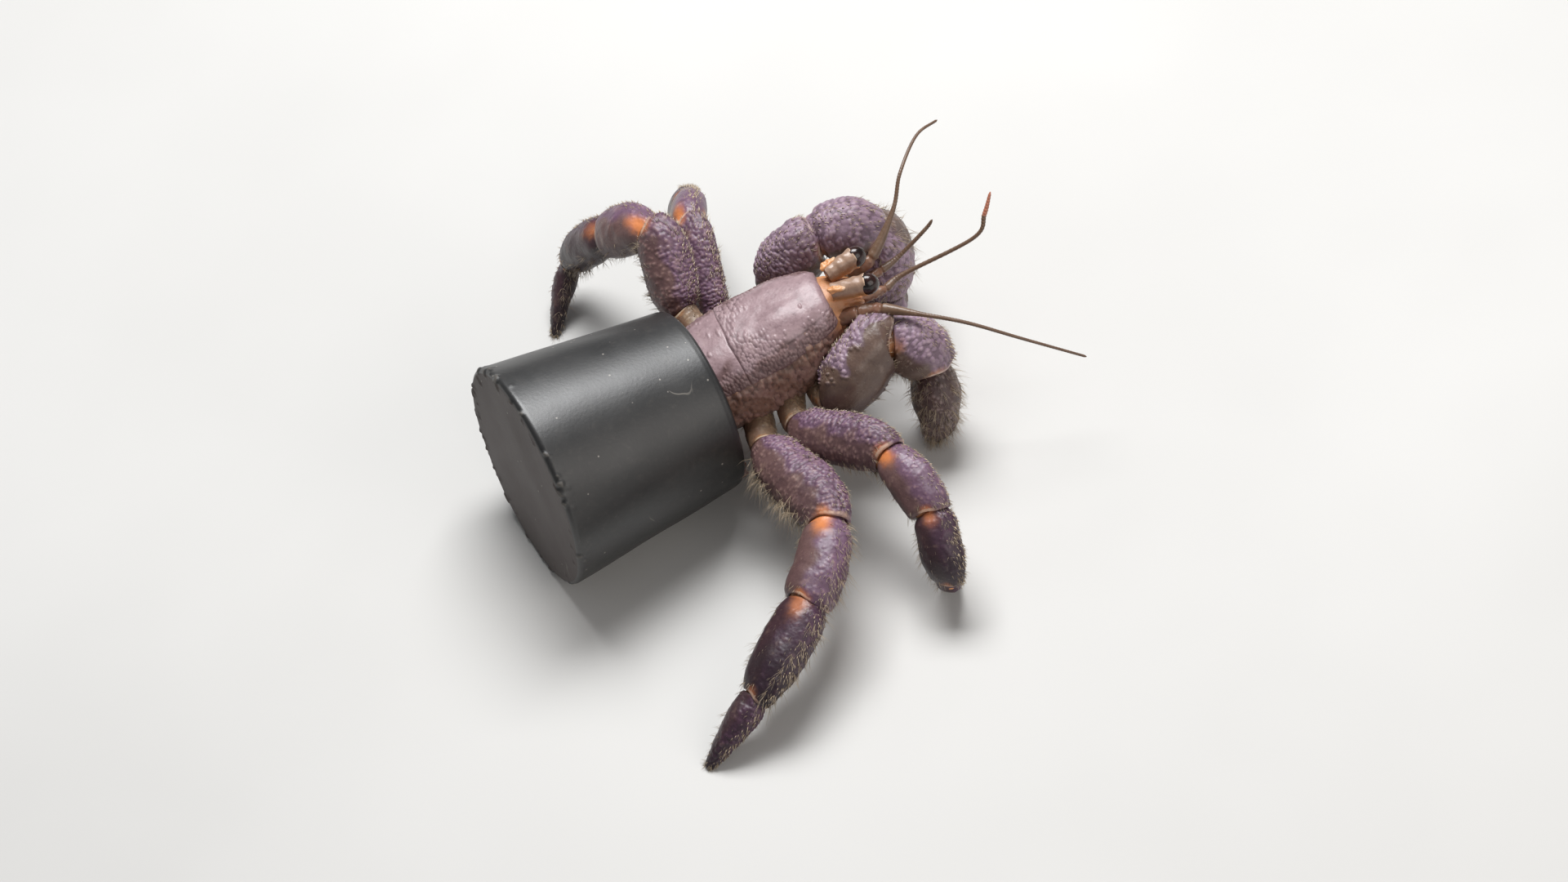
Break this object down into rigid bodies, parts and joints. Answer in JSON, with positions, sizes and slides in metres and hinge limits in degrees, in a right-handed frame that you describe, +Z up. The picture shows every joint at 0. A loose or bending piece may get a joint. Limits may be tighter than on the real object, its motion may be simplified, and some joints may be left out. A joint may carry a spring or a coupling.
{
  "type": "hermit crab",
  "caption": "Still, life-size land hermit crab in a walking pose, with a tapered round black cap on its back in place of a snail shell.",
  "frame": {"origin": "point of the cap's rest flat on the floor, under the middle of the cap's closed end", "axes": "+Z up, +X along the crab's heading, +Y to the crab's left"},
  "size_m": [0.0818, 0.0929, 0.0315],
  "materials": {
    "soft_hide": "soft hide",
    "feeler": "brown jointed feeler",
    "cap_plastic": "black moulded plastic, satin, with worn edges",
    "body_shell": "smooth shell with a dull shine",
    "claw_shell": "grained purple shell",
    "cornea": "glossy black",
    "eyestalk": "smooth tan shell",
    "leg_shell": "grained dark purple shell"
  },
  "bodies": {
    "root": {"abdomen": "soft_hide", "antenna_left": "feeler", "antenna_right": "feeler", "antennule_left": "feeler", "antennule_right": "feeler", "cap": "cap_plastic", "carapace_rear": "body_shell", "claw_left_base": "claw_shell", "claw_left_carpus": "claw_shell", "claw_left_finger": "claw_shell", "claw_left_merus": "claw_shell", "claw_left_palm": "claw_shell", "claw_right_base": "claw_shell", "claw_right_carpus": "claw_shell", "claw_right_finger": "claw_shell", "claw_right_merus": "claw_shell", "claw_right_palm": "claw_shell", "cornea_left": "cornea", "cornea_right": "cornea", "eyestalk_left": "eyestalk", "eyestalk_right": "eyestalk", "leg2_left_base": "leg_shell", "leg2_left_carpus": "leg_shell", "leg2_left_dactyl": "leg_shell", "leg2_left_merus": "leg_shell", "leg2_left_propodus": "leg_shell", "leg2_right_base": "leg_shell", "leg2_right_carpus": "leg_shell", "leg2_right_dactyl": "leg_shell", "leg2_right_merus": "leg_shell", "leg2_right_propodus": "leg_shell", "leg3_left_base": "leg_shell", "leg3_left_carpus": "leg_shell", "leg3_left_dactyl": "leg_shell", "leg3_left_merus": "leg_shell", "leg3_left_propodus": "leg_shell", "leg3_right_base": "leg_shell", "leg3_right_carpus": "leg_shell", "leg3_right_dactyl": "leg_shell", "leg3_right_merus": "leg_shell", "leg3_right_propodus": "leg_shell", "leg4_left": "leg_shell", "leg4_right": "leg_shell", "maxilliped_left": "leg_shell", "maxilliped_right": "leg_shell", "shield": "body_shell", "thorax": "soft_hide"}
  },
  "joints": []
}
